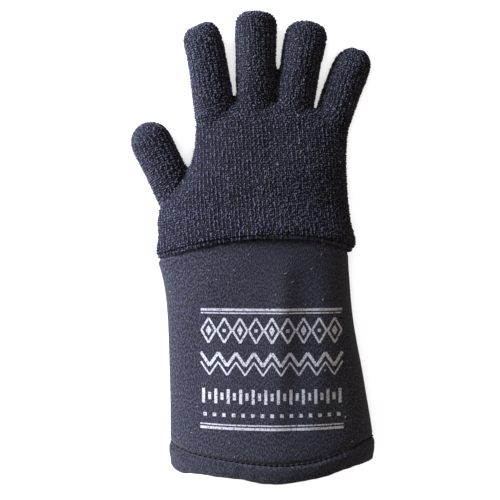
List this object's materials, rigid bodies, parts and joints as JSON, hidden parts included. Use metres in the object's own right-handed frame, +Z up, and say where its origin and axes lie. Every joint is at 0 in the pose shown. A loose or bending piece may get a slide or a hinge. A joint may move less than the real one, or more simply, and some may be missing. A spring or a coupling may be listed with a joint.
{
  "type": "heat-resistant work glove",
  "caption": "Thick seamless knitted work glove with a long flared cloth gauntlet cuff and a turned-up hem, lying palm down with its mouth open.",
  "frame": {"origin": "the underside of the wrist, on the flat face that the glove lies on, at the line where the hand meets the cuff", "axes": "+Y towards the fingertips, +X towards the little finger side, +Z up out of the back of the hand"},
  "size_m": [0.1944, 0.3694, 0.0585],
  "materials": {
    "knit_cloth": "thick dark grey terry knit with a heathered yarn, loops and pale lint",
    "cuff_cloth": "matt dark grey napped canvas, slightly heathered",
    "hem_cloth": "the cuff's canvas turned up and stitched down",
    "thread": "dark sewing thread",
    "print_ink": "pale grey screen-print ink, thin and slightly worn"
  },
  "bodies": {
    "root": {"knit_hand": "knit_cloth", "cuff": "cuff_cloth", "cuff_hem": "hem_cloth"}
  },
  "joints": []
}
